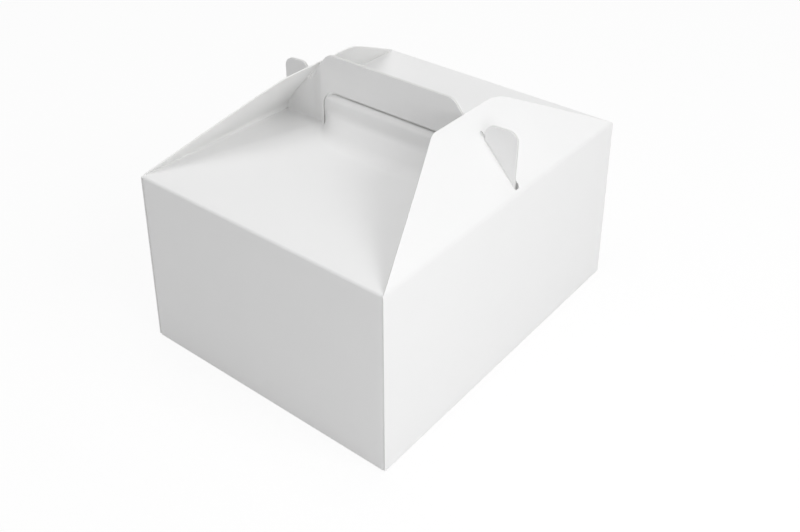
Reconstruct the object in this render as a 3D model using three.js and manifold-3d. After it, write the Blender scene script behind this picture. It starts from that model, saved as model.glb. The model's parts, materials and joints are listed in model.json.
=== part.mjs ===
// Pastry carrier box, folded from one sheet of white solid board. Millimetres, +Z up.
// The front wall faces -Y and the origin is the middle of the base, where it stands.
//
// The sheet makes the base, the walls and a lid in two halves. Each half of the lid ends in an upright
// layer, and the two layers stand back to back as the carrying handle, with an ear at each end.
// A flap on top of each side wall leans inward, and its slot is hooked over the pair of ears.
import * as THREE from "three";
import { mergeVertices } from "three/addons/utils/BufferGeometryUtils.js";
import Module from "manifold-3d";

// Body of the box, measured over its outer faces
const BOX_WIDTH = 137; // across the lid, from side wall to side wall
const BOX_DEPTH = 176; // across the lid, from front wall to back wall
const BOX_HEIGHT = 90; // base to lid
const FOOT_FLARE = 2.5; // how far each wall's foot stands out past its top
const BOARD = 0.5; // thickness of the sheet
const FOLD_RADIUS = 1; // of the sheet's middle line at every fold

// Glue tabs that turn from the front and back walls behind the side walls
const TAB_WIDTH = 14;
const GLUE_SINK = 0.02; // lets a glued tab and its wall become one piece

// Clearances
const LID_SIDE_GAP = 0.6; // between the lid's cut edges and the side walls
const HINGE_GAP = 0.3; // between a side wall's top and the turning foot of its flap
const EAR_CLEARANCE = 0.3; // on each side of the ears in a slot
const HOOK_CLEARANCE = 0.4; // between the ears' hooks and a slot's upper end
const LAYER_GAP = 0.3; // between the handle's two layers

// Handle: two layers in the middle plane, heights measured from the lid's top face
const HANDLE_HEIGHT = 36.2;
const GRIP_LENGTH = 68; // along the handle's top edge, before its corners are rounded
const GRIP_CORNER_RADIUS = 4;
const HOLE_WIDTH = 78.4;
const HOLE_HEIGHT = 18;
const HOLE_RADIUS = 7.5;

// Ears: the notch takes the flap, and the hook outside it holds the flap down
const EAR_HEIGHT = 28.3;
const EAR_OUTER_RADIUS = 4;
const HOOK_WIDTH = 17.6; // from the notch to the ear's outer edge
const HOOK_RADIUS = 5;
const NOTCH_HEIGHT = 20.3; // of the notch's bottom above the lid
const NOTCH_WIDTH = 2.4; // at its bottom
const NOTCH_RADIUS = 0.8;

// Finger tabs: cut free inside the hole, still one piece with the lid, which curves up into them
const TAB_SLIT = 0.6; // between a finger tab and the hole's edge
const TAB_BEND_MIDDLE = 7; // radius of the curve at the middle of the tab
const TAB_BEND_END = 1.2; // and at its ends
const TAB_LEAN_HEIGHT = 12; // above the lid, where the tab starts to lean back
const TAB_LEAN = THREE.MathUtils.degToRad(15);

// Side flaps: heights are measured up the flap from its fold
const FLAP_TILT = THREE.MathUtils.degToRad(41); // inward from upright
const FLAP_LENGTH = 41;
const FLAP_TOP_WIDTH = 46.5;
const FLAP_FRONT_RADIUS = 8;
const FLAP_BACK_RADIUS = 26;
const FLAP_END_GAP = 0.4; // between the flap's foot and each end of the fold

// Fineness of curves
const FOLD_STEPS = 4;
const CORNER_STEPS = 6;
const TAB_STEPS = 10;

const CUT = 5; // how far a cutting tool reaches past what it cuts
const halfBoard = BOARD / 2;
const halfWidth = BOX_WIDTH / 2;
const halfDepth = BOX_DEPTH / 2;
const foldOuter = FOLD_RADIUS + halfBoard;
const layerMiddle = (LAYER_GAP + BOARD) / 2; // from the middle plane to a layer's middle
const lidMiddle = BOX_HEIGHT - halfBoard;
const lidHalfWidth = halfWidth - BOARD - LID_SIDE_GAP;
const tabMiddle = halfWidth - BOARD - halfBoard + GLUE_SINK;
const sideWallTop = BOX_HEIGHT - BOARD - HINGE_GAP;
const notchOuter = halfWidth - HOOK_WIDTH;
const notchInner = notchOuter - NOTCH_WIDTH;
const tabHalfWidth = HOLE_WIDTH / 2 - TAB_SLIT;

// The ears' hooks turn with the slot around the flap's fold, so the slot is as long as their reach
const hookReach = Math.hypot(HOOK_WIDTH - HOOK_RADIUS, EAR_HEIGHT - HOOK_RADIUS) + HOOK_RADIUS;
const slotLength = hookReach + HOOK_CLEARANCE;
const slotWidth = LAYER_GAP + 2 * BOARD + 2 * EAR_CLEARANCE;

const board = new THREE.MeshStandardMaterial({ color: 0xf3f3f1, roughness: 0.55, metalness: 0 });

const wasm = await Module();
wasm.setup();

// A line through [a, b, radius] points, with an arc of that radius at each corner that has one
function roundedLine(corners, steps) {
  const line = [];
  corners.forEach(([a, b, radius = 0], index) => {
    const corner = new THREE.Vector2(a, b);
    if (radius === 0) {
      line.push(corner);
      return;
    }
    const before = corners.at(index - 1);
    const after = corners[(index + 1) % corners.length];
    const back = new THREE.Vector2(before[0], before[1]).sub(corner).normalize();
    const ahead = new THREE.Vector2(after[0], after[1]).sub(corner).normalize();
    const half = Math.acos(THREE.MathUtils.clamp(back.dot(ahead), -1, 1)) / 2;
    const turn = (Math.PI - 2 * half) * Math.sign(ahead.cross(back));
    const centre = back.clone().add(ahead).normalize().multiplyScalar(radius / Math.sin(half)).add(corner);
    const tangent = radius / Math.tan(half);
    const start = back.multiplyScalar(tangent).add(corner).sub(centre);
    for (let step = 0; step <= steps; step += 1) {
      const point = start.clone().rotateAround(new THREE.Vector2(), (turn * step) / steps);
      line.push(point.add(centre));
    }
  });
  return line;
}

// The outline of a sheet whose middle follows the line
function ribbon(line) {
  const sides = [[], []];
  line.forEach((point, index) => {
    const before = line[Math.max(index - 1, 0)];
    const after = line[Math.min(index + 1, line.length - 1)];
    const into = (index === 0 ? after.clone().sub(point) : point.clone().sub(before)).normalize();
    const out = (index === line.length - 1 ? into.clone() : after.clone().sub(point)).normalize();
    const normal = new THREE.Vector2(-into.y - out.y, into.x + out.x).normalize();
    const reach = halfBoard / normal.dot(new THREE.Vector2(-into.y, into.x));
    sides[0].push(point.clone().addScaledVector(normal, reach));
    sides[1].push(point.clone().addScaledVector(normal, -reach));
  });
  return [...sides[0], ...sides[1].reverse()];
}

function solid(geometry) {
  const bare = geometry.clone();
  bare.deleteAttribute("normal");
  bare.deleteAttribute("uv");
  const merged = mergeVertices(bare, 1e-5);
  return new wasm.Manifold(
    new wasm.Mesh({
      numProp: 3,
      vertProperties: new Float32Array(merged.attributes.position.array),
      triVerts: new Uint32Array(merged.index.array),
    }),
  );
}

// A prism from an outline in the plane of two axes, between two places on the third axis
const PLANES = {
  // outline in X and Z, extruded along Y
  xz: (from, to) => new THREE.Matrix4().makeBasis(
    new THREE.Vector3(1, 0, 0),
    new THREE.Vector3(0, 0, 1),
    new THREE.Vector3(0, -1, 0),
  ).setPosition(0, to, 0),
  // outline in Y and Z, extruded along X
  yz: (from) => new THREE.Matrix4().makeBasis(
    new THREE.Vector3(0, 1, 0),
    new THREE.Vector3(0, 0, 1),
    new THREE.Vector3(1, 0, 0),
  ).setPosition(from, 0, 0),
  // outline in X and Y, extruded along Z
  xy: (from) => new THREE.Matrix4().setPosition(0, 0, from),
};

function prism(plane, outline, from, to) {
  const geometry = new THREE.ExtrudeGeometry(new THREE.Shape(outline), {
    depth: to - from,
    bevelEnabled: false,
  });
  geometry.applyMatrix4(PLANES[plane](from, to));
  return geometry;
}

function block(low, high) {
  const size = high.map((value, index) => value - low[index]);
  const geometry = new THREE.BoxGeometry(...size);
  geometry.translate(...low.map((value, index) => value + size[index] / 2));
  return geometry;
}

function bothEnds(make) {
  return [-1, 1].map(make);
}

// Front wall, lid, handle, base and back wall in one strip, running round the box from layer to layer
function wrap() {
  const top = BOX_HEIGHT + HANDLE_HEIGHT;
  const line = roundedLine([
    [-layerMiddle, top],
    [-layerMiddle, lidMiddle, FOLD_RADIUS],
    [halfBoard - halfDepth, lidMiddle, FOLD_RADIUS],
    [halfBoard - halfDepth, halfBoard, FOLD_RADIUS],
    [halfDepth - halfBoard, halfBoard, FOLD_RADIUS],
    [halfDepth - halfBoard, lidMiddle, FOLD_RADIUS],
    [layerMiddle, lidMiddle, FOLD_RADIUS],
    [layerMiddle, top],
  ], FOLD_STEPS);
  let strip = solid(prism("yz", ribbon(line), -halfWidth, halfWidth));
  const wallEdge = tabMiddle - FOLD_RADIUS;
  const lidUnderside = BOX_HEIGHT - foldOuter;
  const far = halfDepth + CUT;
  bothEnds((side) => {
    const outside = side * (halfWidth + CUT);
    const across = (edge) => (side > 0 ? [edge, outside] : [outside, -edge]);
    const [wallLow, wallHigh] = across(wallEdge);
    const [lidLow, lidHigh] = across(lidHalfWidth);
    strip = strip.subtract(solid(block([wallLow, -far, -CUT], [wallHigh, far, lidUnderside])));
    strip = strip.subtract(
      solid(block([lidLow, -far, lidUnderside - BOARD], [lidHigh, far, BOX_HEIGHT + EAR_CLEARANCE])),
    );
  });
  return strip;
}

// The handle's top edge with the notches and ears, as the outline of what is cut away above it
function handleWaste() {
  const top = BOX_HEIGHT + HANDLE_HEIGHT + CUT;
  const rightSide = [
    [GRIP_LENGTH / 2, HANDLE_HEIGHT, GRIP_CORNER_RADIUS],
    [notchInner, NOTCH_HEIGHT, NOTCH_RADIUS],
    [notchOuter, NOTCH_HEIGHT, NOTCH_RADIUS],
    [notchOuter, EAR_HEIGHT, HOOK_RADIUS],
    [halfWidth, EAR_HEIGHT, EAR_OUTER_RADIUS],
    [halfWidth, EAR_HEIGHT - 2 * EAR_OUTER_RADIUS],
    [halfWidth + CUT, EAR_HEIGHT - 2 * EAR_OUTER_RADIUS],
  ].map(([x, height, radius]) => [x, BOX_HEIGHT + height, radius]);
  const leftSide = rightSide.map(([x, z, radius]) => [-x, z, radius]).reverse();
  const corners = [...leftSide, ...rightSide, [halfWidth + CUT, top], [-halfWidth - CUT, top]];
  return prism("xz", roundedLine(corners, CORNER_STEPS), -CUT, CUT);
}

// The finger hole through both layers and through the fold under them
function fingerHole() {
  const half = HOLE_WIDTH / 2;
  const low = BOX_HEIGHT - CUT;
  const top = BOX_HEIGHT + HOLE_HEIGHT;
  const depth = layerMiddle + FOLD_RADIUS;
  const corners = [[-half, low], [half, low], [half, top, HOLE_RADIUS], [-half, top, HOLE_RADIUS]];
  return prism("xz", roundedLine(corners, CORNER_STEPS), -depth, depth);
}

// How tightly the lid curves up into the finger tab, at a place along the handle
function tabBend(x) {
  const fullness = 1 - (x / tabHalfWidth) ** 4;
  return TAB_BEND_END + (TAB_BEND_MIDDLE - TAB_BEND_END) * fullness;
}

// Places along the handle where the finger tab's sheet is drawn, closer together round its corners
function tabStations() {
  const radius = HOLE_RADIUS - TAB_SLIT;
  const straight = tabHalfWidth - radius;
  const middle = Array.from({ length: TAB_STEPS + 1 }, (_, i) => ({
    x: straight * ((2 * i) / TAB_STEPS - 1),
    top: HOLE_HEIGHT - TAB_SLIT,
  }));
  const corner = Array.from({ length: CORNER_STEPS }, (_, i) => {
    const angle = ((i + 1) / CORNER_STEPS) * (Math.PI / 2);
    return {
      x: straight + radius * Math.sin(angle),
      top: HOLE_HEIGHT - TAB_SLIT - radius * (1 - Math.cos(angle)),
    };
  });
  const mirrored = corner.map(({ x, top }) => ({ x: -x, top })).reverse();
  return [...mirrored, ...middle, ...corner];
}

// The middle line of a finger tab in Y and Z: lid, curve, upright stretch and the part that leans back
function tabLine(x, top, side) {
  const bend = tabBend(x);
  const start = layerMiddle + bend;
  const line = [new THREE.Vector2(side * (start + 2 * BOARD), lidMiddle)];
  for (let step = 0; step <= CORNER_STEPS; step += 1) {
    const angle = (step / CORNER_STEPS) * (Math.PI / 2);
    line.push(new THREE.Vector2(
      side * (start - bend * Math.sin(angle)),
      lidMiddle + bend * (1 - Math.cos(angle)),
    ));
  }
  const lean = Math.min(TAB_LEAN_HEIGHT, top - BOARD);
  line.push(new THREE.Vector2(side * layerMiddle, BOX_HEIGHT + lean));
  const back = (top - lean) * Math.tan(TAB_LEAN);
  line.push(new THREE.Vector2(side * layerMiddle + back, BOX_HEIGHT + top));
  return line;
}

function fingerTab(side) {
  const rings = tabStations().map(({ x, top }) => {
    return ribbon(tabLine(x, top, side)).map((point) => [x, point.x, point.y]);
  });
  const size = rings[0].length;
  const triangles = [];
  for (let ring = 0; ring < rings.length - 1; ring += 1) {
    for (let i = 0; i < size; i += 1) {
      const here = ring * size;
      const next = here + size;
      const j = (i + 1) % size;
      triangles.push(here + i, next + j, here + j, here + i, next + i, next + j);
    }
  }
  const last = (rings.length - 1) * size;
  for (let i = 0; i < size / 2 - 1; i += 1) {
    const far = size - 1 - i;
    triangles.push(i, far - 1, far, i, i + 1, far - 1);
    triangles.push(last + i, last + far, last + far - 1, last + i, last + far - 1, last + i + 1);
  }
  const geometry = new THREE.BufferGeometry();
  geometry.setAttribute("position", new THREE.Float32BufferAttribute(rings.flat(2), 3));
  geometry.setIndex(triangles);
  return geometry;
}

// The part of the lid that the finger tab's curve takes the place of
function tabOpening(side) {
  const overlap = BOARD;
  const edge = tabStations()
    .filter(({ x }) => Math.abs(x) < tabHalfWidth - overlap)
    .map(({ x }) => new THREE.Vector2(x, side * (layerMiddle + tabBend(x) - overlap)));
  const ends = [
    new THREE.Vector2(tabHalfWidth - overlap, side * (layerMiddle + TAB_BEND_END)),
    new THREE.Vector2(tabHalfWidth - overlap, 0),
    new THREE.Vector2(overlap - tabHalfWidth, 0),
    new THREE.Vector2(overlap - tabHalfWidth, side * (layerMiddle + TAB_BEND_END)),
  ];
  return prism("xy", [...edge, ...ends], BOX_HEIGHT - CUT, BOX_HEIGHT + EAR_CLEARANCE);
}

// The front or back wall once more in plan, with its folds at the corners and the glue tabs
function wallWithTabs(side) {
  const wall = side * (halfDepth - halfBoard);
  const end = side * (halfDepth - TAB_WIDTH);
  const line = roundedLine([
    [-tabMiddle, end],
    [-tabMiddle, wall, FOLD_RADIUS],
    [tabMiddle, wall, FOLD_RADIUS],
    [tabMiddle, end],
  ], FOLD_STEPS);
  return prism("xy", ribbon(line), foldOuter, BOX_HEIGHT - foldOuter);
}

// A side wall with its fold to the base, glued over the tabs of its neighbours
function sideWall(side) {
  const outer = side * (halfWidth - halfBoard);
  const line = roundedLine([
    [side * (halfWidth - TAB_WIDTH), halfBoard],
    [outer, halfBoard, FOLD_RADIUS],
    [outer, sideWallTop],
  ], FOLD_STEPS);
  let wall = solid(prism("xz", ribbon(line), -halfDepth, halfDepth));
  bothEnds((end) => {
    const [low, high] = [end * (halfDepth - foldOuter), end * (halfDepth + CUT)].sort((a, b) => a - b);
    wall = wall.subtract(solid(block([-halfWidth - CUT, low, -CUT], [halfWidth + CUT, high, foldOuter])));
  });
  return wall;
}

// Below the lid every wall leans, so that the base is larger than the lid by the flare on each side
function flareFoot(geometry) {
  const position = geometry.attributes.position;
  for (let i = 0; i < position.count; i += 1) {
    const drop = Math.max(0, 1 - position.getZ(i) / BOX_HEIGHT);
    position.setX(i, position.getX(i) * (1 + (FOOT_FLARE / halfWidth) * drop));
    position.setY(i, position.getY(i) * (1 + (FOOT_FLARE / halfDepth) * drop));
  }
  return geometry;
}

function toGeometry(manifold) {
  const mesh = manifold.getMesh();
  const geometry = new THREE.BufferGeometry();
  geometry.setAttribute("position", new THREE.Float32BufferAttribute(mesh.vertProperties, 3));
  geometry.setIndex(Array.from(mesh.triVerts));
  return geometry;
}

function makeCarton() {
  let body = wrap().subtract(solid(handleWaste())).subtract(solid(fingerHole()));
  bothEnds((side) => {
    body = body
      .subtract(solid(tabOpening(side)))
      .add(solid(fingerTab(side)))
      .add(solid(wallWithTabs(side)))
      .add(sideWall(side));
  });
  const mesh = new THREE.Mesh(flareFoot(toGeometry(body)), board);
  mesh.name = "carton";
  return mesh;
}

// A side flap, drawn flat with Y along its fold and its length upward, then leaned over the lid
function makeFlap(name, side) {
  const foot = halfDepth - FLAP_END_GAP;
  const halfTop = FLAP_TOP_WIDTH / 2;
  const halfSlot = slotWidth / 2;
  const outline = roundedLine([
    [-foot, 0],
    [-halfSlot, 0],
    [-halfSlot, slotLength, halfSlot * 0.99],
    [halfSlot, slotLength, halfSlot * 0.99],
    [halfSlot, 0],
    [foot, 0],
    [halfTop, FLAP_LENGTH, FLAP_BACK_RADIUS],
    [-halfTop, FLAP_LENGTH, FLAP_FRONT_RADIUS],
  ], CORNER_STEPS);
  const [low, high] = side > 0 ? [-BOARD, 0] : [0, BOARD];
  const mesh = new THREE.Mesh(prism("yz", outline, low, high), board);
  mesh.name = name;
  mesh.position.set(side * halfWidth, 0, BOX_HEIGHT);
  mesh.rotation.y = -side * FLAP_TILT;
  return mesh;
}

const box = new THREE.Group();
box.name = "pastry_carrier_box";
box.add(makeCarton(), makeFlap("left_flap", -1), makeFlap("right_flap", 1));

export default box;
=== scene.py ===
"""Pastry carrier box of white board, folded and closed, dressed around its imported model.

Each piece starts as a flat blank of board, is cut to its outline, and is then folded along its
score lines, as the real box is. Lengths are in millimetres until a mesh is finished.
"""
import json
import logging
import math
from dataclasses import dataclass, field
from enum import Enum
from typing import Callable, Sequence

import bpy
from mathutils import Matrix, Vector


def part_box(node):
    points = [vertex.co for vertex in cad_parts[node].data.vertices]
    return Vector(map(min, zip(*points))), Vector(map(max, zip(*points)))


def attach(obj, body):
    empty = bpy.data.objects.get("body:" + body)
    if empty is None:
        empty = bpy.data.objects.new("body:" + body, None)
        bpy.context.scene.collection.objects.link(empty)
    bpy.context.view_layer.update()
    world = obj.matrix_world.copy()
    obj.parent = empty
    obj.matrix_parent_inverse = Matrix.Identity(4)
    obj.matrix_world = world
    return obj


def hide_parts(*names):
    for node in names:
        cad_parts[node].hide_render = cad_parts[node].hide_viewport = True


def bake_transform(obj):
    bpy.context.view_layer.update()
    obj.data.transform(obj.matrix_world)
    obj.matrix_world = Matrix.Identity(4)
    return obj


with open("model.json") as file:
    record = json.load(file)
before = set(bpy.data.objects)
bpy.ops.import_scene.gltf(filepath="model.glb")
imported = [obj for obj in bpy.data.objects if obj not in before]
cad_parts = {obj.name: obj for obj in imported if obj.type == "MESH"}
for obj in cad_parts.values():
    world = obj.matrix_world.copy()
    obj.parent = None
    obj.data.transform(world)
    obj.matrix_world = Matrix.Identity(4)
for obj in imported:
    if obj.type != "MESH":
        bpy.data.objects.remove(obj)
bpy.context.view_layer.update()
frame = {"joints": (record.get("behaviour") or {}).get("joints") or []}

MM = 0.001
BOTH = (-1, 1)
WHITE = (1.0, 1.0, 1.0, 1.0)
# Sockets of a Mix node in colour mode, whose names it uses more than once
MIX_FACTOR, MIX_FIRST, MIX_SECOND = 0, 6, 7
MIX_RESULT = 2
log = logging.getLogger("pastry_carrier_box")

Corner = tuple[float, ...]
Point = tuple[float, float]
Fold = Callable[[float, float, float], Vector]


class Side(Enum):
    """The two side panels, by the sign of X on which they stand."""

    LEFT = -1
    RIGHT = 1

    @property
    def word(self) -> str:
        """The side's name in the names of pieces, bodies and nodes."""
        return self.name.lower()


class Face(Enum):
    """The three surfaces of a sheet of board, in the order of its material slots."""

    OUTSIDE = 0
    INSIDE = 1
    CUT_EDGE = 2


def ease(value: float) -> float:
    """A smooth step from 0 to 1 over the same range of the value."""
    value = min(max(value, 0.0), 1.0)
    return value * value * (3 - 2 * value)


def row_of(low: float, high: float, step: float) -> list[float]:
    """Evenly spaced places from low to high, no further apart than the step.

    Args:
        low: First place.
        high: Last place.
        step: Greatest spacing.

    Returns:
        The places, both ends included.
    """
    count = max(1, math.ceil((high - low) / step))
    return [low + (high - low) * i / count for i in range(count + 1)]


class FoldLine:
    """The middle line of a folded sheet: straight runs joined by arcs at the folds."""

    def __init__(self, corners: Sequence[Corner]) -> None:
        """Works out the runs and arcs.

        Args:
            corners: Points as (a, b) or (a, b, radius), the first and last without a radius.
        """
        self.runs: list[tuple[float, float, Vector, Vector, float]] = []
        self.arcs: list[tuple[float, float]] = []
        place = 0.0
        here = Vector(corners[0][:2])
        for index in range(1, len(corners)):
            corner = Vector(corners[index][:2])
            ahead = (corner - here).normalized()
            radius = corners[index][2] if len(corners[index]) > 2 else 0.0
            if radius == 0.0:
                length = (corner - here).length
                self.runs.append((place, place + length, here, ahead, 0.0))
                place += length
                here = corner
                continue
            out = (Vector(corners[index + 1][:2]) - corner).normalized()
            turn = math.atan2(ahead.x * out.y - ahead.y * out.x, ahead.dot(out))
            tangent = radius * math.tan(abs(turn) / 2)
            start = corner - ahead * tangent
            length = (start - here).length
            self.runs.append((place, place + length, here, ahead, 0.0))
            place += length
            sweep = radius * abs(turn)
            curve = math.copysign(1 / radius, turn)
            self.runs.append((place, place + sweep, start, ahead, curve))
            self.arcs.append((place, place + sweep))
            place += sweep
            here = corner + out * tangent
        self.length = place

    def at(self, place: float) -> tuple[Vector, Vector]:
        """The point at a distance along the line, and the direction to its right there.

        Args:
            place: Distance from the start, which may lie past either end.

        Returns:
            The point and the unit vector to the right of the line's travel.
        """
        run = next((r for r in self.runs if place <= r[1]), self.runs[-1])
        start, _, point, ahead, curve = run
        along = place - start
        if curve == 0.0:
            return point + ahead * along, Vector((ahead.y, -ahead.x))
        angle = along * curve
        left = Vector((-ahead.y, ahead.x))
        bent = point + ahead * (math.sin(angle) / curve) + left * ((1 - math.cos(angle)) / curve)
        heading = ahead * math.cos(angle) + left * math.sin(angle)
        return bent, Vector((heading.y, -heading.x))

    def places(self, step: float, arc_steps: int) -> list[float]:
        """Places for a blank's rows: even on straight runs and close together round the folds.

        Args:
            step: Greatest spacing on a straight run.
            arc_steps: Number of rows across each fold.

        Returns:
            The places in rising order.
        """
        found: list[float] = []
        for start, end, _, _, curve in self.runs:
            spacing = (end - start) / arc_steps if curve else step
            found += row_of(start, end, spacing)[:-1]
        return found + [self.length]


def rounded(corners: Sequence[Corner], steps: int = 8, arm: float = 1000.0) -> list[Point]:
    """A closed outline with arcs at the corners that have a radius.

    Args:
        corners: Points as (x, y) or (x, y, radius).
        steps: Number of steps in each arc.
        arm: Length of the lines that an arc is drawn between, past any side of the outline.

    Returns:
        The outline's points.
    """
    outline: list[Point] = []
    for index, corner in enumerate(corners):
        if len(corner) < 3 or corner[2] == 0:
            outline.append((corner[0], corner[1]))
            continue
        middle = Vector(corner[:2])
        back = (Vector(corners[index - 1][:2]) - middle).normalized()
        ahead = (Vector(corners[(index + 1) % len(corners)][:2]) - middle).normalized()
        line = FoldLine([tuple(middle + back * arm), corner, tuple(middle + ahead * arm)])
        start, end = line.arcs[0]
        for step in range(steps + 1):
            point = line.at(start + (end - start) * step / steps)[0]
            outline.append((point.x, point.y))
    return outline


def pick_only(piece: bpy.types.Object) -> None:
    """Deselects everything, then selects the piece and makes it active."""
    bpy.ops.object.select_all(action="DESELECT")
    piece.select_set(True)
    bpy.context.view_layer.objects.active = piece


def apply_modifier(piece: bpy.types.Object, kind: str, **settings: object) -> None:
    """Adds a modifier to the piece and applies it.

    Args:
        piece: The object to change.
        kind: Blender's name for the modifier's type.
        **settings: Values of the modifier's properties.
    """
    pick_only(piece)
    modifier = piece.modifiers.new(kind.title(), kind)
    for key, value in settings.items():
        setattr(modifier, key, value)
    bpy.ops.object.modifier_apply(modifier=modifier.name)


def edit(piece: bpy.types.Object, *steps: Callable[[], object]) -> None:
    """Runs operators in edit mode with the whole piece selected.

    Args:
        piece: The object to edit.
        *steps: Operators to call in order.
    """
    pick_only(piece)
    bpy.ops.object.mode_set(mode="EDIT")
    bpy.ops.mesh.select_all(action="SELECT")
    for step in steps:
        step()
    bpy.ops.object.mode_set(mode="OBJECT")


class Blank:
    """A flat sheet of board that is cut to its outline and then folded."""

    cutter_reach: float = 4.0
    least_left: float = 0.3
    merge_distance: float = 1e-4
    flat_enough: float = 0.01
    facing: float = 0.7
    smooth_below: float = math.radians(35)

    def __init__(
        self, name: str, columns: Sequence[float], rows: Sequence[float], thickness: float
    ) -> None:
        """Lays the sheet out flat, its middle at height 0.

        Args:
            name: The piece's name.
            columns: Places of the sheet's grid lines across.
            rows: Places of its grid lines along.
            thickness: Thickness of the board.
        """
        across, along = len(columns) - 1, len(rows) - 1
        bpy.ops.object.select_all(action="DESELECT")
        bpy.ops.mesh.primitive_grid_add(x_subdivisions=across, y_subdivisions=along, size=2)
        self.piece = bpy.context.active_object
        self.piece.name = name
        self.piece.data.name = name
        for vertex in self.piece.data.vertices:
            column = round((vertex.co.x + 1) / 2 * across)
            row = round((vertex.co.y + 1) / 2 * along)
            vertex.co = (columns[column], rows[row], 0.0)
        apply_modifier(self.piece, "SOLIDIFY", thickness=thickness, offset=0.0)

    def cut(self, outline: Sequence[Point]) -> None:
        """Cuts an outline out of the flat sheet.

        Args:
            outline: Corners of the waste that falls away.

        Raises:
            RuntimeError: If little of the sheet is left, as when the outline crosses itself.
        """
        before = self.area()
        cutter = self.cutter(outline)
        apply_modifier(
            self.piece, "BOOLEAN", operation="DIFFERENCE", object=cutter, solver="EXACT"
        )
        bpy.data.objects.remove(cutter, do_unlink=True)
        if self.area() <= before * self.least_left:
            raise RuntimeError(f"{self.piece.name}: a cut took away most of the sheet")

    def trim(self, edge: float, far: float, low: float, high: float) -> None:
        """Cuts both sides of the sheet back to an edge, between two places along it.

        Args:
            edge: Distance of the new edge from the middle.
            far: Distance past the sheet's old edge.
            low: First place along.
            high: Last place along.
        """
        corners = ((edge, low), (far, low), (far, high), (edge, high))
        for sign in BOTH:
            self.cut([(sign * x, y) for x, y in corners])

    def cutter(self, outline: Sequence[Point]) -> bpy.types.Object:
        """A prism on the outline that passes through the sheet.

        Args:
            outline: The prism's corners.

        Returns:
            The prism.
        """
        bpy.ops.object.select_all(action="DESELECT")
        bpy.ops.mesh.primitive_circle_add(vertices=len(outline), fill_type="NGON")
        cutter = bpy.context.active_object
        for vertex, (x, y) in zip(cutter.data.vertices, outline):
            vertex.co = (x, y, -self.cutter_reach)
        height = {"value": (0, 0, 2 * self.cutter_reach)}
        edit(
            cutter,
            lambda: bpy.ops.mesh.extrude_region_move(TRANSFORM_OT_translate=height),
            lambda: bpy.ops.mesh.select_all(action="SELECT"),
            lambda: bpy.ops.mesh.normals_make_consistent(inside=False),
        )
        return cutter

    def area(self) -> float:
        """The sheet's area, both faces and its edges."""
        return sum(polygon.area for polygon in self.piece.data.polygons)

    def face_at(self, up: float) -> Face:
        """The surface of the flat sheet that a polygon belongs to.

        Args:
            up: The height of its normal.

        Returns:
            The surface.
        """
        if up > self.facing:
            return Face.OUTSIDE
        return Face.INSIDE if up < -self.facing else Face.CUT_EDGE

    def fold(self, fold: Fold, finishes: Sequence[bpy.types.Material]) -> bpy.types.Object:
        """Gives the faces their finishes, folds the sheet and closes the mesh.

        Args:
            fold: Where a point of the flat sheet goes, from its place across, along and in
                thickness.
            finishes: Materials in the order of Face.

        Returns:
            The folded piece, in metres.
        """
        flat = self.flat_enough
        edit(
            self.piece,
            lambda: bpy.ops.mesh.remove_doubles(threshold=self.merge_distance),
            lambda: bpy.ops.mesh.quads_convert_to_tris(quad_method="BEAUTY", ngon_method="BEAUTY"),
            lambda: bpy.ops.mesh.tris_convert_to_quads(face_threshold=flat, shape_threshold=flat),
        )
        mesh = self.piece.data
        mesh.materials.clear()
        for finish in finishes:
            mesh.materials.append(finish)
        for polygon in mesh.polygons:
            polygon.material_index = self.face_at(polygon.normal.z).value
        for vertex in mesh.vertices:
            vertex.co = fold(*vertex.co) * MM
        edit(self.piece, lambda: bpy.ops.mesh.normals_make_consistent(inside=False))
        pick_only(self.piece)
        bpy.ops.object.shade_smooth_by_angle(angle=self.smooth_below)
        return self.piece


class Wire:
    """One output of a shader node, with Python's operators adding Math nodes."""

    def __init__(self, tree: bpy.types.NodeTree, socket: bpy.types.NodeSocket) -> None:
        """Keeps the socket and the tree that it is in."""
        self.tree = tree
        self.socket = socket

    def _math(self, operation: str, first: object, second: object) -> "Wire":
        """A Math node on two values or wires."""
        return node(self.tree, "ShaderNodeMath", {"operation": operation}, {0: first, 1: second})

    def __add__(self, other: object) -> "Wire":
        """This value plus another."""
        return self._math("ADD", self, other)

    def __sub__(self, other: object) -> "Wire":
        """This value less another."""
        return self._math("SUBTRACT", self, other)

    def __rsub__(self, other: object) -> "Wire":
        """Another value less this one."""
        return self._math("SUBTRACT", other, self)

    def __mul__(self, other: object) -> "Wire":
        """This value times another."""
        return self._math("MULTIPLY", self, other)


def node(
    tree: bpy.types.NodeTree,
    kind: str,
    settings: dict[str, object] | None = None,
    inputs: dict[str | int, object] | None = None,
    output: str | int = 0,
) -> Wire:
    """Adds a shader node.

    Args:
        tree: The material's node tree.
        kind: The node's type.
        settings: Properties set before the inputs.
        inputs: Values or wires by the input's name or number.
        output: The output to return.

    Returns:
        The chosen output.
    """
    made = tree.nodes.new(kind)
    for key, value in (settings or {}).items():
        setattr(made, key, value)
    for key, value in (inputs or {}).items():
        if isinstance(value, Wire):
            tree.links.new(value.socket, made.inputs[key])
        else:
            made.inputs[key].default_value = value
    return Wire(tree, made.outputs[output])


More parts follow.
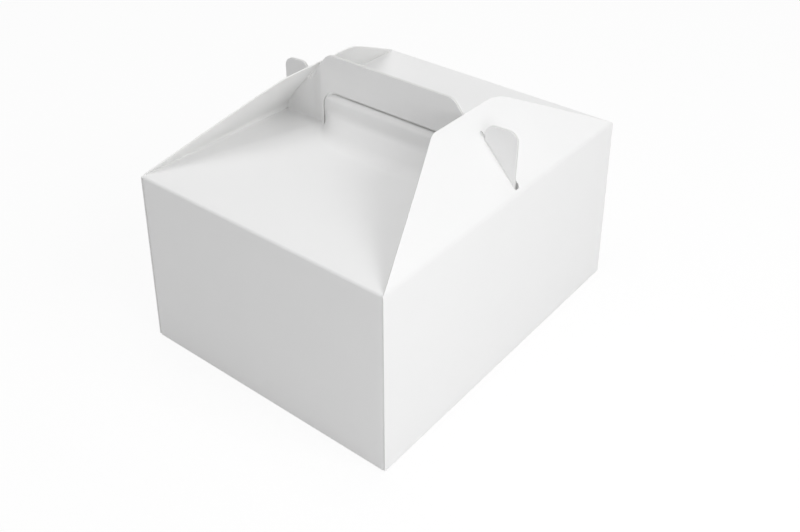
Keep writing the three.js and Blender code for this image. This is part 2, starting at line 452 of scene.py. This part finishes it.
@dataclass(frozen=True)
class BoardFinish:
    """One surface of the board: smooth coated paper with a faint cloudiness and fibre."""

    name: str
    light: tuple[float, float, float]
    dark: tuple[float, float, float]
    roughness: float = 0.5
    roughness_spread: float = 0.06
    specular: float = 0.35
    cloud_size: float = 26.0
    cloud_detail: float = 3.0
    cloud_roughness: float = 0.55
    cloud_share: float = 0.7
    fibre_size: float = 0.7
    fibre_detail: float = 4.0
    fibre_roughness: float = 0.6
    fibre_stretch: float = 2.6
    fibre_height: float = 0.012
    bump_strength: float = 0.35

    @staticmethod
    def noise(place: Wire, size: float, detail: float, roughness: float) -> Wire:
        """Noise with features of one size.

        Args:
            place: Coordinates in metres.
            size: The features' size.
            detail: Octaves of finer noise.
            roughness: How strong the finer noise is.

        Returns:
            The noise, about 0.5 on average.
        """
        inputs = {"Scale": 1 / (size * MM), "Detail": detail, "Roughness": roughness}
        return node(place.tree, "ShaderNodeTexNoise", {}, {"Vector": place, **inputs})

    def build(self) -> bpy.types.Material:
        """Makes the material.

        Returns:
            A material on object coordinates, in metres.
        """
        material = bpy.data.materials.new(self.name)
        material.use_nodes = True
        tree = material.node_tree
        shader = tree.nodes["Principled BSDF"]
        place = node(tree, "ShaderNodeTexCoord", output="Object")
        clouds = self.noise(place, self.cloud_size, self.cloud_detail, self.cloud_roughness)
        stretch = {"Vector": place, "Scale": (1.0, self.fibre_stretch, 1.0)}
        grain_place = node(tree, "ShaderNodeMapping", {}, stretch)
        grain = self.noise(
            grain_place, self.fibre_size, self.fibre_detail, self.fibre_roughness
        )
        blend = clouds * self.cloud_share + grain * (1 - self.cloud_share)
        colours = {MIX_FIRST: (*self.dark, 1.0), MIX_SECOND: (*self.light, 1.0)}
        colour = node(
            tree, "ShaderNodeMix", {"data_type": "RGBA"},
            {MIX_FACTOR: blend, **colours}, output=MIX_RESULT,
        )
        rough = (grain - 0.5) * self.roughness_spread + self.roughness
        relief = {"Strength": self.bump_strength, "Distance": self.fibre_height * MM}
        bump = node(tree, "ShaderNodeBump", {}, {**relief, "Height": grain})
        tree.links.new(colour.socket, shader.inputs["Base Color"])
        tree.links.new(rough.socket, shader.inputs["Roughness"])
        tree.links.new(bump.socket, shader.inputs["Normal"])
        shader.inputs["Specular IOR Level"].default_value = self.specular
        return material


@dataclass
class BoxSizes:
    """Sizes that every panel shares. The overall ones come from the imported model."""

    board: float = 0.5
    half_width: float = field(init=False)
    half_depth: float = field(init=False)
    height: float = field(init=False)
    handle_height: float = field(init=False)
    flare: float = field(init=False)
    tilt: float = field(init=False)
    fold_radius: float = 1.1
    bottom_radius: float = 0.55
    layer_middle: float = 0.4
    flap_end_gap: float = 0.4

    def __post_init__(self) -> None:
        """Reads the fold of a side flap and the outer sizes from the frame."""
        hinge = next(j for j in frame["joints"] if j["name"] == "right_flap_hinge")
        low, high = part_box("carton")
        flap_low, flap_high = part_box("right_flap")
        self.half_width = hinge["pos_m"][0] / MM
        self.height = hinge["pos_m"][2] / MM
        self.handle_height = high[2] / MM - self.height
        self.half_depth = flap_high[1] / MM + self.flap_end_gap
        self.flare = high[0] / MM - self.half_width
        rise = flap_high[2] / MM - self.height
        inward = self.half_width - flap_low[0] / MM
        self.tilt = math.atan2(inward - self.board * rise / math.hypot(rise, inward), rise)

    @property
    def half_board(self) -> float:
        """Half the board's thickness."""
        return self.board / 2

    def flared(self, x: float, y: float, z: float) -> Vector:
        """Leans the walls outward below the lid.

        Args:
            x: Place across.
            y: Place in depth.
            z: Height.

        Returns:
            The leaned point.
        """
        drop = max(0.0, 1 - z / self.height)
        wider = 1 + self.flare / self.half_width * drop
        deeper = 1 + self.flare / self.half_depth * drop
        return Vector((x * wider, y * deeper, z))


@dataclass
class Wrap:
    """Base, front and back walls, both lid halves and both layers of the handle, in one sheet."""

    sizes: BoxSizes
    tab_width: float = 14.0
    tab_margin: float = 0.15
    lid_side_gap: float = 0.1
    grip_half: float = 35.5
    grip_radius: float = 6.0
    hole_half: float = 39.2
    hole_height: float = 18.0
    hole_radius: float = 8.0
    slit: float = 0.7
    ear_height: float = 28.3
    ear_half: float = 66.3
    ear_radius: float = 4.5
    hook_width: float = 17.6
    hook_radius: float = 4.2
    notch_height: float = 20.3
    notch_width: float = 2.4
    notch_radius: float = 0.8
    tab_start: float = 18.0
    tab_foot: float = 13.0
    tab_knee: float = 2.6
    tab_knee_height: float = 8.2
    tab_foot_radius: float = 10.0
    tab_swell: float = 1.6
    lean_height: float = 14.6
    lean: float = math.radians(45)
    tip_length: float = 3.0
    back_lean_height: float = 12.4
    back_lean: float = math.radians(15)
    back_tip_length: float = 4.9
    ear_bend_start: float = 40.6
    ear_bend_end: float = 47.0
    ear_bend: float = math.radians(18)
    ear_tail: float = math.radians(4)
    ear_fade: float = 14.0
    side_slope: float = 0.11
    side_fade: float = 14.0
    bow: float = 0.5
    sag: float = 0.35
    step: float = 3.2
    reach: float = 6.0
    ear_foot: float = 0.3
    hole_foot: float = 0.2
    tab_squareness: int = 5
    tab_knee_radius: float = 4.0
    lean_radius: float = 1.6
    back_lean_radius: float = 2.0
    edge_reach: float = 2.0
    wall_reach: float = 1.0
    side_fade_start: float = 2.0
    side_ease: float = 2.0
    rise_fade: float = 24.0
    handle_clear: float = 3.0
    fine_step: float = 1.6
    glue_step: float = 4.8
    corner_step: float = 0.3
    bend_margin: float = 0.4
    bend_reach: float = 2.0
    arc_rows: int = 6
    tab_row_reach: float = 1.0
    tab_row_gap: float = 1.5
    tab_step: float = 1.1

    def __post_init__(self) -> None:
        """Draws the folded section and the plan of a wall with its glue tabs."""
        s = self.sizes
        top = s.height + s.handle_height
        lid = s.height - s.half_board
        wall = s.half_depth - s.half_board
        self.section = FoldLine([
            (-s.layer_middle, top),
            (-s.layer_middle, lid, s.fold_radius),
            (-wall, lid, s.fold_radius),
            (-wall, s.half_board, s.bottom_radius),
            (wall, s.half_board, s.bottom_radius),
            (wall, lid, s.fold_radius),
            (s.layer_middle, lid, s.fold_radius),
            (s.layer_middle, top),
        ])
        tab_line = s.half_width - s.board - s.half_board
        self.wall_plan = FoldLine([
            (-tab_line, -(wall - self.tab_width)),
            (-tab_line, -wall, s.bottom_radius),
            (tab_line, -wall, s.bottom_radius),
            (tab_line, -(wall - self.tab_width)),
        ])
        self.wall_half = tab_line - s.bottom_radius
        self.tab_half = self.hole_half - self.slit

    def ear_offset(self, x: float) -> float:
        """How far an ear stands behind the middle plane.

        Args:
            x: Place along the handle.

        Returns:
            The distance, 0 at the grip.
        """
        past = max(0.0, abs(x) - self.ear_bend_start)
        near = min(past, self.ear_bend_end - self.ear_bend_start)
        return near * math.tan(self.ear_bend) + (past - near) * math.tan(self.ear_tail)

    def rise(self, along: float) -> tuple[float, int]:
        """Where a place along the section is, seen from the handle.

        Args:
            along: Place along the section.

        Returns:
            Its height above the lid's fold on the flat sheet, and its half: -1 front, 1 back.
        """
        front = self.sizes.handle_height - along
        back = self.sizes.handle_height - (self.section.length - along)
        return (front, -1) if front > back else (back, 1)

    def along(self, rise: float, side: int) -> float:
        """The place along the section of a height on the flat sheet.

        Args:
            rise: Height above the lid's fold.
            side: -1 on the front half, 1 on the back half.

        Returns:
            The place.
        """
        front = self.sizes.handle_height - rise
        return front if side < 0 else self.section.length - front

    def contour(self, far: float) -> list[Point]:
        """The waste round the grip and the ears.

        Args:
            far: How far it reaches to either side.

        Returns:
            The outline, in places along the handle and heights above the lid's fold.
        """
        s = self.sizes
        hook = s.half_width - self.hook_width
        right = [
            (self.grip_half, s.handle_height, self.grip_radius),
            (hook - self.notch_width, self.notch_height, self.notch_radius),
            (hook, self.notch_height, self.notch_radius),
            (hook, self.ear_height, self.hook_radius),
            (self.ear_half, self.ear_height, self.ear_radius),
            (self.ear_half, self.ear_foot),
            (far, self.ear_foot),
        ]
        left = [(-corner[0], *corner[1:]) for corner in reversed(right)]
        peak = s.handle_height + self.reach
        return rounded([*left, *right, (far, peak), (-far, peak)])

    def arch(self, half: float, top: float, radius: float) -> list[Point]:
        """The outline of the handle's hole, or of the finger tab in it.

        Args:
            half: Half its width.
            top: Height of its upper edge.
            radius: Radius of its upper corners.

        Returns:
            The outline, in places along the handle and heights above the lid's fold.
        """
        foot = self.hole_foot
        return rounded([(-half, foot), (-half, top, radius), (half, top, radius), (half, foot)])

    def cut_outline(self, blank: Blank) -> None:
        """Cuts the handle, its hole and ears, and the sides of every panel.

        Args:
            blank: The flat sheet.
        """
        s = self.sizes
        far = self.wall_half + self.tab_width + self.reach
        contour = self.contour(far)
        hole = self.arch(self.hole_half, self.hole_height, self.hole_radius)
        tab = self.arch(self.tab_half, self.hole_height - self.slit, self.hole_radius - self.slit)
        for side in BOTH:
            for waste in (contour, hole + tab[::-1]):
                blank.cut([(x, self.along(rise, side)) for x, rise in waste])
        length = self.section.length
        (_, lid_end), (bottom_start, _) = self.section.arcs[1:3]
        lid_start = s.handle_height - self.ear_foot
        lid_half = s.half_width - s.board - self.lid_side_gap
        wall_low = lid_end + self.tab_margin
        wall_high = bottom_start - self.tab_margin
        spans = ((lid_start, lid_end, lid_half), (lid_end, wall_low, self.wall_half))
        for start, end, edge in spans:
            blank.trim(edge, far, start, end)
            blank.trim(edge, far, length - end, length - start)
        blank.trim(self.wall_half, far, wall_high, length - wall_high)

    @staticmethod
    def leaning(lean: float, length: float) -> Vector:
        """The run of a finger tab's tip.

        Args:
            lean: Its angle from upright.
            length: Its length.

        Returns:
            The run in Y and height.
        """
        return Vector((math.sin(lean), math.cos(lean))) * length

    def tab_profile(self, x: float, side: int) -> FoldLine:
        """The finger tab's section at a place along the handle, in Y and height above the lid.

        Args:
            x: Place along the handle.
            side: -1 on the front half, 1 on the back half.

        Returns:
            The section, from the lid to the tab's tip.
        """
        s = self.sizes
        middle = s.layer_middle
        if side > 0:
            tip = self.leaning(self.back_lean, self.back_tip_length)
            return FoldLine([
                (middle + self.tab_start, 0.0),
                (middle, 0.0, s.fold_radius),
                (middle, self.back_lean_height, self.back_lean_radius),
                (middle + tip.x, self.back_lean_height + tip.y),
            ])
        fullness = 1 - min(1.0, abs(x) / self.tab_half) ** self.tab_squareness
        flat = self.hole_height - self.slit - self.lean_height
        tip = self.leaning(self.lean, flat + (self.tip_length - flat) * fullness)
        swell = -middle - self.tab_swell * fullness
        foot_radius = s.fold_radius + self.tab_foot_radius * fullness
        return FoldLine([
            (-middle - self.tab_start, 0.0),
            (-middle - self.tab_foot * fullness, 0.0, foot_radius),
            (-middle - self.tab_knee * fullness, self.tab_knee_height, self.tab_knee_radius),
            (swell, self.lean_height, self.lean_radius),
            (swell + tip.x, self.lean_height + tip.y),
        ])

    def finger_tab(self, x: float, rise: float, side: int) -> tuple[Vector, Vector] | None:
        """Where the finger tab's middle lies and how it faces, or None off the tab.

        Args:
            x: Place along the handle.
            rise: Height on the flat sheet above the lid's fold.
            side: -1 on the front half, 1 on the back half.

        Returns:
            The point in Y and Z with the outward direction.
        """
        s = self.sizes
        top = self.hole_height - self.slit
        spare = self.slit / 2
        if abs(x) > self.tab_half + spare or not -self.tab_start < rise < top + spare:
            return None
        if rise > top - self.hole_radius:
            over = max(0.0, abs(x) - (self.tab_half - self.hole_radius))
            drop = self.hole_radius - math.sqrt(max(0.0, self.hole_radius ** 2 - over ** 2))
            if rise > top - drop + self.slit:
                return None
        line = self.tab_profile(x, side)
        flat = FoldLine([(0, 0), (self.tab_start, 0, s.fold_radius), (self.tab_start, top)])
        saved = 2 * s.fold_radius - (flat.arcs[0][1] - flat.arcs[0][0])
        share = (rise + self.tab_start - saved) / flat.length
        point, right = line.at(share * line.length)
        point.y += s.height - s.half_board
        return point, right * side

    def settle(self, point: Vector) -> Vector:
        """Bends the ears back, lowers the lid beside them and bows the panels a little.

        Args:
            point: A place on the folded sheet.

        Returns:
            The settled place.
        """
        s = self.sizes
        across = 1 - min(1.0, (point.x / s.half_width) ** 2)
        if point.z > s.height - self.edge_reach:
            rise = max(0.0, point.z - s.height)
            depth = min(1.0, abs(point.y) / s.half_depth)
            start = self.ear_bend_start + (s.half_width - self.ear_bend_start) * depth
            past = max(0.0, abs(point.x) - start)
            keep = 1 - ease((point.y - self.side_fade_start) / self.side_fade)
            if point.x > 0:
                keep *= 1 - ease(rise / self.rise_fade)
            point.z -= self.side_slope * past * ease(past / self.side_ease) * keep
            if abs(point.y) > s.layer_middle + self.handle_clear:
                point.z -= self.sag * across * math.sin(math.pi * depth) ** 2
            point.y += self.ear_offset(point.x) * (1 - ease(abs(point.y) / self.ear_fade))
        height = min(1.0, max(0.0, point.z / s.height))
        if abs(point.y) > s.half_depth - self.edge_reach:
            out = self.bow * across * math.sin(math.pi * height) ** 2
            point.y += math.copysign(out, point.y)
        return point

    def fold(self, x: float, along: float, depth: float) -> Vector:
        """Folds a point of the flat sheet.

        Args:
            x: Place across.
            along: Place along the section.
            depth: Place in the board's thickness, positive outside.

        Returns:
            The folded point.
        """
        s = self.sizes
        point, out = self.section.at(along)
        rise, side = self.rise(along)
        tab = self.finger_tab(x, rise, side)
        if tab is not None:
            point, out = tab
        place = Vector((x, point.x + out.x * depth, point.y + out.y * depth))
        upright = s.bottom_radius < point.y < s.height - s.fold_radius
        on_wall = abs(point.x) > s.half_depth - self.wall_reach
        if upright and on_wall and abs(x) > self.wall_half:
            plan, right = self.wall_plan.at(x + self.wall_plan.length / 2)
            side_y = math.copysign(1, point.x)
            y = -side_y * (plan.y + right.y * depth)
            place = Vector((plan.x + right.x * depth, y, point.y))
        return s.flared(*self.settle(place))

    def build(self, finishes: Sequence[bpy.types.Material]) -> bpy.types.Object:
        """Makes the sheet.

        Args:
            finishes: Materials in the order of Face.

        Returns:
            The finished piece, riding on the carton.
        """
        s = self.sizes
        half = self.wall_plan.length / 2
        arc_low, arc_high = self.wall_plan.arcs[1]
        arc = row_of(arc_low - half, arc_high - half, self.corner_step)
        fold, margin = self.ear_bend_start, self.bend_margin
        right = row_of(0, fold - margin, self.fine_step)[1:] + [fold + margin]
        right += row_of(fold + self.bend_reach, self.wall_half, self.fine_step)[:-1]
        right += arc + row_of(arc[-1], half, self.glue_step)[1:]
        columns = [-x for x in reversed(right)] + [0.0] + right
        rows: list[float] = []
        for row in self.section.places(self.step, self.arc_rows):
            rise, _ = self.rise(row)
            on_tab = -self.tab_start - self.tab_row_reach < rise < self.hole_height
            if on_tab and rows and row - rows[-1] > self.tab_row_gap:
                rows += row_of(rows[-1], row, self.tab_step)[1:]
            else:
                rows.append(row)
        blank = Blank("folded_carton", columns, rows, s.board)
        self.cut_outline(blank)
        piece = blank.fold(self.fold, finishes)
        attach(piece, "carton")
        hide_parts("carton")
        log.info("%s: %d vertices", piece.name, len(piece.data.vertices))
        return piece


@dataclass
class SidePanel:
    """A side wall with the flap above it, one sheet across the fold between them."""

    sizes: BoxSizes
    side: Side
    slot_place: Callable[[float], float]
    flap_length: float = 41.0
    top_half: float = 23.2
    front_radius: float = 8.0
    back_radius: float = 26.0
    slot_length: float = 31.3
    slot_width: float = 1.7
    slot_start: float = 1.8
    slot_foot_rise: float = 0.6
    slot_foot_share: float = 0.6
    slot_foot_radius: float = 0.5
    slot_flare: float = 2.03
    slot_flare_rise: float = 1.6
    slot_flare_radius: float = 0.6
    slot_straight: float = 9.3
    slot_top_share: float = 0.9
    crease_radius: float = 4.5
    crease_drop: float = 0.2
    blend_half: float = 1.6
    bow: float = 0.45
    curl: float = 0.5
    step: float = 3.2
    tip_steps: int = 10
    arc_rows: int = 8
    reach: float = 6.0

    def __post_init__(self) -> None:
        """Draws the folded section in X and Z, as on the right side."""
        s = self.sizes
        wall = s.half_width - s.half_board
        crease = s.height - self.crease_drop
        self.section = FoldLine([
            (s.half_width - s.board - s.half_board - s.bottom_radius, s.half_board),
            (wall, s.half_board, s.bottom_radius),
            (wall, crease, self.crease_radius),
            (
                wall - math.sin(s.tilt) * self.flap_length,
                crease + math.cos(s.tilt) * self.flap_length,
            ),
        ])
        self.crease_place = sum(self.section.arcs[1]) / 2

    def cut_outline(self, blank: Blank) -> None:
        """Cuts the flap's outline and its slot, and the corners at the base.

        Args:
            blank: The flat sheet.
        """
        s = self.sizes
        foot = s.half_depth - s.flap_end_gap
        fold = self.crease_place
        tip = self.section.length
        far = s.half_depth + self.reach
        half = self.slot_width / 2
        low = fold + self.slot_start
        high = fold + self.slot_length
        slot_foot = self.slot_place(s.half_width)
        slot_top = self.slot_place(s.half_width - self.slot_length * math.sin(s.tilt))
        flare_low = slot_foot + half + self.slot_flare * self.slot_foot_share
        flare_high = slot_foot + half + self.slot_flare
        top_radius = half * self.slot_top_share
        blank.cut(rounded([
            (slot_foot - half, low + self.slot_foot_rise),
            (slot_foot, low),
            (flare_low, low, self.slot_foot_radius),
            (flare_high, low + self.slot_flare_rise, self.slot_flare_radius),
            (slot_top + half, high - self.slot_straight),
            (slot_top + half, high, top_radius),
            (slot_top - half, high, top_radius),
        ]))
        contour = [
            (-far, fold), (-foot, fold), (-self.top_half, tip, self.front_radius),
            (self.top_half, tip, self.back_radius), (foot, fold), (far, fold),
            (far, tip + self.reach), (-far, tip + self.reach),
        ]
        blank.cut(rounded(contour, self.tip_steps))
        base = self.section.arcs[0][1]
        edge = s.half_depth - s.bottom_radius - s.half_board
        blank.trim(edge, far, -self.reach, base)

    def fold(self, y: float, along: float, depth: float) -> Vector:
        """Folds a point of the flat sheet.

        Args:
            y: Place across.
            along: Place along the section.
            depth: Place in the board's thickness, positive outside.

        Returns:
            The folded point.
        """
        s = self.sizes
        point, out = self.section.at(along)
        place = Vector((point.x + out.x * depth, y, point.y + out.y * depth))
        across = 1 - min(1.0, (y / s.half_depth) ** 2)
        if along < self.crease_place:
            height = min(1.0, max(0.0, place.z / s.height))
            place.x += self.bow * across * math.sin(math.pi * height) ** 2
        else:
            up = (along - self.crease_place) / self.flap_length
            lift = self.curl * across * math.sin(math.pi * min(1.0, up))
            place += Vector((out.x, 0.0, out.y)) * lift
        place = s.flared(*place)
        place.x *= self.side.value
        return place

    def build(self, finishes: Sequence[bpy.types.Material]) -> bpy.types.Object:
        """Makes the panel.

        Args:
            finishes: Materials in the order of Face.

        Returns:
            The finished piece.
        """
        s = self.sizes
        columns = row_of(-s.half_depth, s.half_depth, self.step)
        rows = self.section.places(self.step, self.arc_rows)
        blank = Blank(f"{self.side.word}_side_panel", columns, rows, s.board)
        self.cut_outline(blank)
        piece = blank.fold(self.fold, finishes)
        hinge = Vector((self.side.value * s.half_width, 0.0, s.height)) * MM
        rise = Vector((0.0, 0.0, self.blend_half * MM))
        body = f"{self.side.word}_flap"
        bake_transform(piece)
        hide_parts(body)
        log.info("%s: %d vertices", piece.name, len(piece.data.vertices))
        return piece


@dataclass(frozen=True)
class Lamp:
    """A square soft lamp that faces the box."""

    name: str
    place: tuple[float, float, float]
    size: float
    power: float

    def build(self) -> None:
        """Hangs the lamp at its place, in metres."""
        bpy.ops.object.select_all(action="DESELECT")
        bpy.ops.object.light_add(type="AREA", location=self.place)
        lamp = bpy.context.active_object
        lamp.name = self.name
        lamp.rotation_euler = Vector(self.place).to_track_quat("Z", "Y").to_euler()
        lamp.data.size = self.size
        lamp.data.energy = self.power


@dataclass
class Studio:
    """Floor, lamps and camera."""

    sizes: BoxSizes
    focal_pixels: float = 966.8
    picture_width: float = 800.0
    azimuth: float = math.radians(38.131)
    elevation: float = math.radians(34.81)
    distance: float = 461.7
    target: tuple[float, float] = (11.47, -5.63)
    roll: float = math.radians(0.4)
    shift: float = -0.03
    sensor: float = 36.0
    clip_start: float = 0.01
    world_strength: float = 0.48
    world_lean: tuple[float, float, float] = (0.04, 0.12, 0.04)
    floor_half: float = 6.0
    floor_colour: tuple[float, float, float, float] = (0.8, 0.8, 0.8, 1.0)
    floor_white: float = 0.8
    floor_glow: float = 1.06
    lamps: tuple[Lamp, ...] = (
        Lamp("key_lamp", place=(1.25, 0.1, 0.99), size=0.7, power=5.5),
        Lamp("side_lamp", place=(0.5, -0.26, 0.24), size=0.2, power=0.45),
        Lamp("top_lamp", place=(-0.2, -0.05, 1.4), size=1.1, power=4.7),
        Lamp("front_lamp", place=(-0.35, -0.8, 1.1), size=0.8, power=0.4),
    )

    def camera(self) -> None:
        """Sets the camera where the photograph was taken from."""
        level = math.cos(self.elevation)
        sine, cosine = math.sin(self.azimuth), math.cos(self.azimuth)
        back = Vector((sine * level, -cosine * level, math.sin(self.elevation)))
        right = Vector((cosine, sine, 0.0))
        up = back.cross(right)
        sine, cosine = math.sin(self.roll), math.cos(self.roll)
        right, up = right * cosine + up * sine, up * cosine - right * sine
        target = Vector((*self.target, self.sizes.height / 2))
        bpy.ops.object.select_all(action="DESELECT")
        bpy.ops.object.camera_add()
        camera = bpy.context.active_object
        camera.name = "camera"
        turn = Matrix((right, up, back)).transposed().to_4x4()
        camera.matrix_world = Matrix.Translation((target + back * self.distance) * MM) @ turn
        camera.data.sensor_width = self.sensor
        camera.data.lens = self.focal_pixels / self.picture_width * self.sensor
        camera.data.shift_y = self.shift
        camera.data.clip_start = self.clip_start
        bpy.context.scene.camera = camera

    def world(self) -> None:
        """Fills the room with soft light, a little stronger from behind, and shows it white."""
        world = bpy.data.worlds.new("studio")
        bpy.context.scene.world = world
        world.use_nodes = True
        tree = world.node_tree
        background = tree.nodes["Background"]
        rays = tree.nodes.new("ShaderNodeLightPath").outputs
        seen = Wire(tree, rays["Is Camera Ray"])
        for kind in ("Is Glossy Ray", "Is Transmission Ray"):
            ends = {0: seen, 1: Wire(tree, rays[kind])}
            seen = node(tree, "ShaderNodeMath", {"operation": "MAXIMUM"}, ends)
        ray = node(tree, "ShaderNodeTexCoord", output="Generated")
        lean = node(
            tree, "ShaderNodeVectorMath", {"operation": "DOT_PRODUCT"},
            {0: ray, 1: self.world_lean}, output="Value",
        )
        strength = seen + (1 - seen) * (lean + self.world_strength)
        tree.links.new(strength.socket, background.inputs["Strength"])
        background.inputs["Color"].default_value = WHITE

    def floor(self) -> None:
        """Lays a pale floor that keeps a faint shadow of the box."""
        bpy.ops.object.select_all(action="DESELECT")
        bpy.ops.mesh.primitive_plane_add(size=2 * self.floor_half)
        floor = bpy.context.active_object
        floor.name = "floor"
        material = bpy.data.materials.new("pale_floor")
        material.use_nodes = True
        tree = material.node_tree
        tree.nodes.remove(tree.nodes["Principled BSDF"])
        diffuse = node(tree, "ShaderNodeBsdfDiffuse", {}, {"Color": self.floor_colour})
        glow = node(
            tree, "ShaderNodeEmission", {}, {"Color": WHITE, "Strength": self.floor_glow}
        )
        seen = node(tree, "ShaderNodeLightPath", output="Is Camera Ray")
        ends = {0: seen * self.floor_white, 1: diffuse, 2: glow}
        mixed = node(tree, "ShaderNodeMixShader", {}, ends)
        tree.links.new(mixed.socket, tree.nodes["Material Output"].inputs["Surface"])
        floor.data.materials.append(material)

    def build(self) -> None:
        """Sets up everything round the box."""
        self.camera()
        for lamp in self.lamps:
            lamp.build()
        self.world()
        self.floor()
        view = bpy.context.scene.view_settings
        view.view_transform = "Standard"


@dataclass
class PastryCarrierBox:
    """The whole box."""

    sizes: BoxSizes

    def build(self) -> None:
        """Makes every sheet and gives it its finishes."""
        outside = BoardFinish(
            "coated_board_outside", light=(0.92, 0.92, 0.918), dark=(0.895, 0.895, 0.895)
        )
        inside = BoardFinish(
            "plain_board_inside", light=(0.9, 0.9, 0.893), dark=(0.87, 0.87, 0.863),
            roughness=0.7,
        )
        cut_edge = BoardFinish(
            "board_cut_edge", light=(0.92, 0.92, 0.91), dark=(0.86, 0.86, 0.85),
            roughness=0.85, fibre_size=0.3,
        )
        finishes = [finish.build() for finish in (outside, inside, cut_edge)]
        wrap = Wrap(self.sizes)
        wrap.build(finishes)
        for side in Side:
            SidePanel(self.sizes, side, wrap.ear_offset).build(finishes)


def main() -> None:
    """Builds the studio and the box."""
    logging.basicConfig(level=logging.INFO)
    sizes = BoxSizes()
    Studio(sizes).build()
    PastryCarrierBox(sizes).build()


if __name__ == "__main__":
    main()
